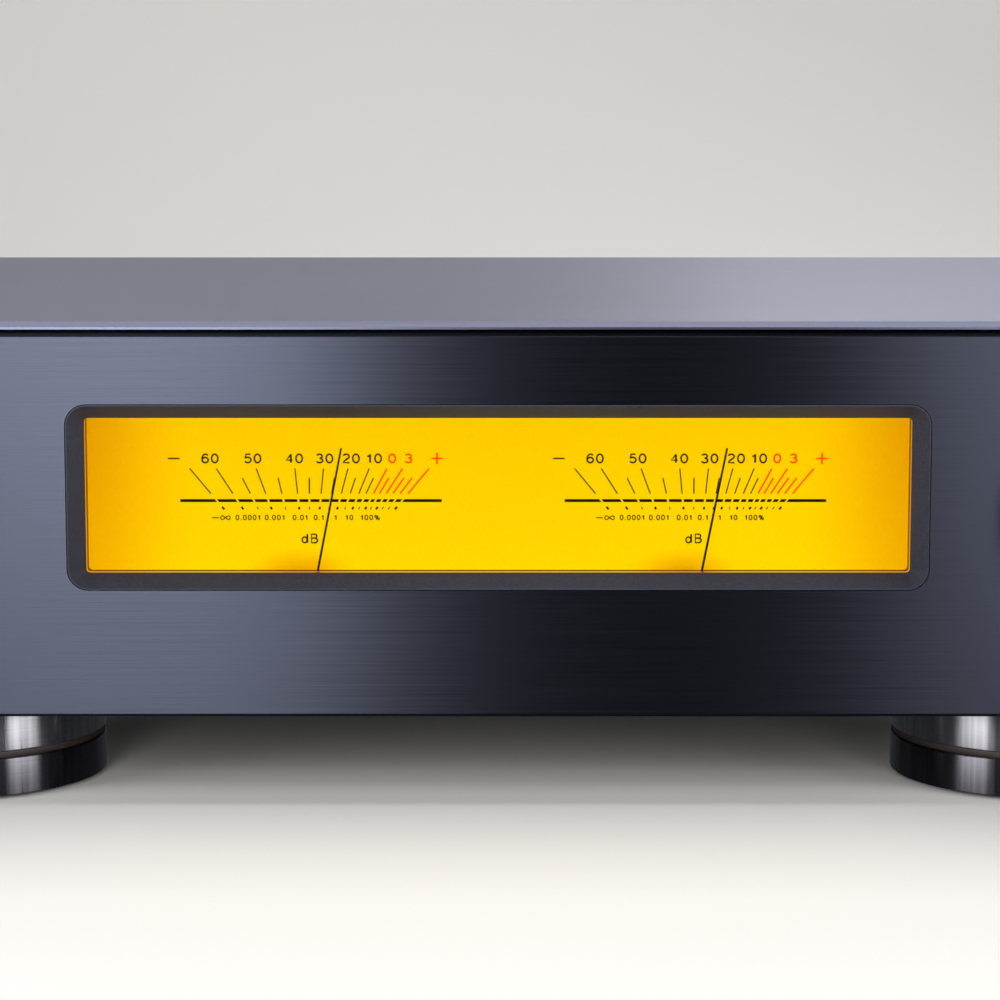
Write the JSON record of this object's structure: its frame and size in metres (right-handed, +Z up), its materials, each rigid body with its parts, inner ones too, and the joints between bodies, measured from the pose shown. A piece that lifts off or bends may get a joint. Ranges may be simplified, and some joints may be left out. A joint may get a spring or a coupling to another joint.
{
  "type": "integrated amplifier",
  "caption": "Compact stereo amplifier with two lit needle meters in a wide window, turned knobs, drum feet and a floating top cover.",
  "frame": {"origin": "centre of the bounding box on the surface that the feet stand on", "axes": "+X to the right seen from the front, +Y from the front to the rear, +Z up"},
  "size_m": [0.322, 0.344, 0.1041],
  "materials": {
    "anodised_panel": "brushed, dark anodised",
    "anodised_cover": "fine brushed, anodised",
    "painted_surround": "fine textured paint",
    "clear_window": "clear, polished",
    "amber_dial": "translucent, lit from behind",
    "white_moulding": "moulded",
    "lamp_board": "white solder mask",
    "needle_black": "matt black",
    "magnet_steel": "turned",
    "coil_copper": "enamelled wire",
    "turned_knob": "turned, dark anodised",
    "shaft_steel": "ground",
    "control_metal": "stamped",
    "polished_metal": "turned, clear anodised",
    "turned_disc": "turned, clear anodised",
    "black_plastic": "moulded",
    "red_plastic": "moulded",
    "standby_lens": "translucent",
    "circuit_board": "green solder mask",
    "zinc_steel": "black powder coat",
    "plain_aluminium": "extruded",
    "black_rubber": "moulded",
    "felt_pad": "felt",
    "black_screw": "black oxide",
    "gold_plate": "gold plated",
    "transformer_core": "polyester tape over copper and steel",
    "clamp_steel": "painted",
    "sink_aluminium": "extruded, black anodised",
    "capacitor_sleeve": "shrunk sleeve"
  },
  "bodies": {
    "casing": {"front_panel": "anodised_panel", "side_panel_left": "anodised_panel", "side_panel_right": "anodised_panel", "top_cover": "anodised_cover", "meter_bezel": "painted_surround", "window_lens": "clear_window", "dial_plate": "amber_dial", "meter_carrier": "white_moulding", "line_socket_inserts": "white_moulding", "light_board": "lamp_board", "meter_movement_left": "magnet_steel", "meter_movement_right": "magnet_steel", "wiring": "coil_copper", "foot_bolts": "shaft_steel", "mains_blades": "shaft_steel", "volume_potentiometer": "control_metal", "input_switch": "control_metal", "headphone_ring": "polished_metal", "foot_drums": "polished_metal", "foot_discs": "turned_disc", "power_switch": "black_plastic", "headphone_socket": "black_plastic", "mains_inlet": "black_plastic", "output_transistors": "black_plastic", "terminal_collars": "black_plastic", "standby_light": "standby_lens", "control_boards": "circuit_board", "amplifier_boards": "circuit_board", "supply_board": "circuit_board", "input_board": "circuit_board", "chassis_base": "zinc_steel", "rear_panel": "zinc_steel", "corner_blocks": "plain_aluminium", "cover_pads": "black_rubber", "foot_isolators": "black_rubber", "foot_pads": "felt_pad", "panel_screws": "black_screw", "line_socket_shells": "gold_plate", "terminal_studs": "gold_plate", "transformer": "transformer_core", "transformer_clamp": "clamp_steel", "heat_sinks": "sink_aluminium", "reservoir_capacitors": "capacitor_sleeve"},
    "volume_control_knob": {"volume_knob": "turned_knob", "volume_shaft": "shaft_steel"},
    "input_selector_knob": {"input_knob": "turned_knob", "input_shaft": "shaft_steel"},
    "power_key": {"power_button": "polished_metal"},
    "meter_left": {"meter_needle_left": "needle_black", "meter_coil_left": "coil_copper"},
    "meter_right": {"meter_needle_right": "needle_black", "meter_coil_right": "coil_copper"},
    "ferrule_right_plus": {"terminal_ferrule_right_plus": "gold_plate"},
    "cap_right_plus": {"terminal_cap_right_plus": "red_plastic"},
    "ferrule_right_minus": {"terminal_ferrule_right_minus": "gold_plate"},
    "cap_right_minus": {"terminal_cap_right_minus": "black_plastic"},
    "ferrule_left_plus": {"terminal_ferrule_left_plus": "gold_plate"},
    "cap_left_plus": {"terminal_cap_left_plus": "red_plastic"},
    "ferrule_left_minus": {"terminal_ferrule_left_minus": "gold_plate"},
    "cap_left_minus": {"terminal_cap_left_minus": "black_plastic"}
  },
  "joints": [
    {"name": "volume_turn", "type": "hinge", "parent": "casing", "child": "volume_control_knob", "pos_m": [0.13055, -0.152, 0.0656], "axis": [0, 1, 0], "range_deg": [-150, 150]},
    {"name": "input_turn", "type": "hinge", "parent": "casing", "child": "input_selector_knob", "pos_m": [-0.13055, -0.152, 0.0746], "axis": [0, 1, 0], "range_deg": [-90, 120]},
    {"name": "power_press", "type": "slide", "parent": "casing", "child": "power_key", "axis": [0, 1, 0], "range_m": [0, 0.003], "stiffness_N_per_m": 400, "springref_m": -0.002},
    {"name": "needle_left", "type": "hinge", "parent": "casing", "child": "meter_left", "pos_m": [-0.0405, -0.152, 0.0412], "axis": [0, 1, 0], "range_deg": [-50.5, 29.6], "stiffness_Nm_per_rad": 0.00002, "springref_deg": -50.42},
    {"name": "needle_right", "type": "hinge", "parent": "casing", "child": "meter_right", "pos_m": [0.042, -0.152, 0.0412], "axis": [0, 1, 0], "range_deg": [-50.5, 29.6], "stiffness_Nm_per_rad": 0.00002, "springref_deg": -50.42},
    {"name": "cap_slide_right_plus", "type": "slide", "parent": "casing", "child": "ferrule_right_plus", "axis": [0, 1, 0], "range_m": [0, 0.003]},
    {"name": "cap_turn_right_plus", "type": "hinge", "parent": "ferrule_right_plus", "child": "cap_right_plus", "pos_m": [0.072, 0.158, 0.0496], "axis": [0, 1, 0], "range_deg": [0, 1080]},
    {"name": "cap_slide_right_minus", "type": "slide", "parent": "casing", "child": "ferrule_right_minus", "axis": [0, 1, 0], "range_m": [0, 0.003]},
    {"name": "cap_turn_right_minus", "type": "hinge", "parent": "ferrule_right_minus", "child": "cap_right_minus", "pos_m": [0.05295, 0.158, 0.0496], "axis": [0, 1, 0], "range_deg": [0, 1080]},
    {"name": "cap_slide_left_plus", "type": "slide", "parent": "casing", "child": "ferrule_left_plus", "axis": [0, 1, 0], "range_m": [0, 0.003]},
    {"name": "cap_turn_left_plus", "type": "hinge", "parent": "ferrule_left_plus", "child": "cap_left_plus", "pos_m": [0.022, 0.158, 0.0496], "axis": [0, 1, 0], "range_deg": [0, 1080]},
    {"name": "cap_slide_left_minus", "type": "slide", "parent": "casing", "child": "ferrule_left_minus", "axis": [0, 1, 0], "range_m": [0, 0.003]},
    {"name": "cap_turn_left_minus", "type": "hinge", "parent": "ferrule_left_minus", "child": "cap_left_minus", "pos_m": [0.00295, 0.158, 0.0496], "axis": [0, 1, 0], "range_deg": [0, 1080]}
  ],
  "couplings": [
    {"joint": "cap_turn_right_plus", "follows": "cap_slide_right_plus", "rad_per_m": 6283.2},
    {"joint": "cap_turn_right_minus", "follows": "cap_slide_right_minus", "rad_per_m": 6283.2},
    {"joint": "cap_turn_left_plus", "follows": "cap_slide_left_plus", "rad_per_m": 6283.2},
    {"joint": "cap_turn_left_minus", "follows": "cap_slide_left_minus", "rad_per_m": 6283.2}
  ]
}
